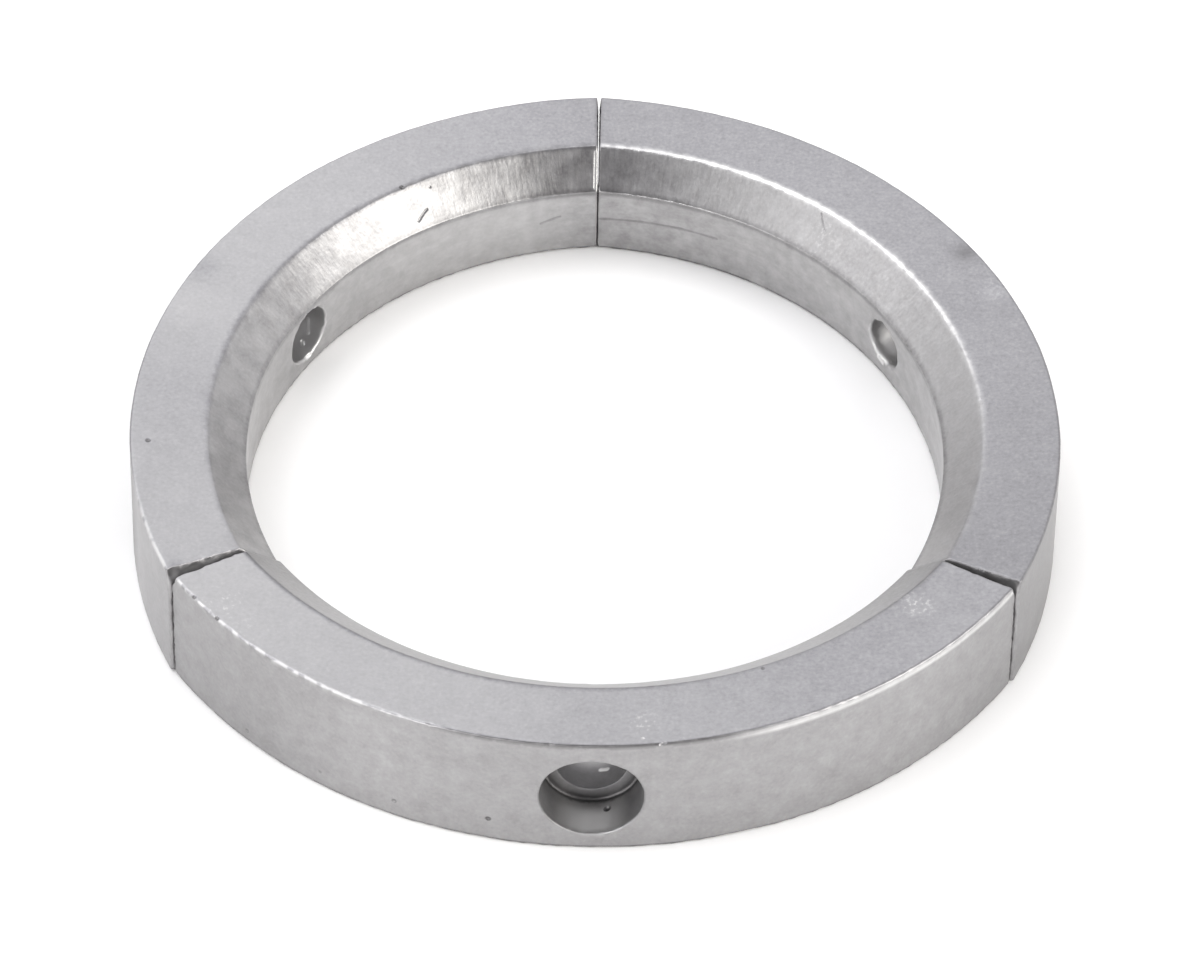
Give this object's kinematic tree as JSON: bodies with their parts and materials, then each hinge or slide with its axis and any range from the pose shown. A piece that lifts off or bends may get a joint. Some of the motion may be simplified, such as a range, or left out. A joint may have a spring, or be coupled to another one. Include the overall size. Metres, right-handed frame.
{
  "type": "propeller hub ring anode",
  "caption": "Ring of separate cast zinc arcs that lies round a folding propeller's hub, with an inner bevel and a counterbored screw hole through each arc.",
  "frame": {"origin": "on the ring's axis, in the plane of the feet that the segments stand on", "axes": "+Z along the ring's axis, from the feet to the bevelled top; -Y through the middle of the front segment"},
  "size_m": [0.1056, 0.1065, 0.015],
  "materials": {
    "zinc": "cast, satin, fine grained"
  },
  "bodies": {
    "root": {"segment_front": "zinc", "segment_left": "zinc", "segment_right": "zinc"}
  },
  "joints": []
}
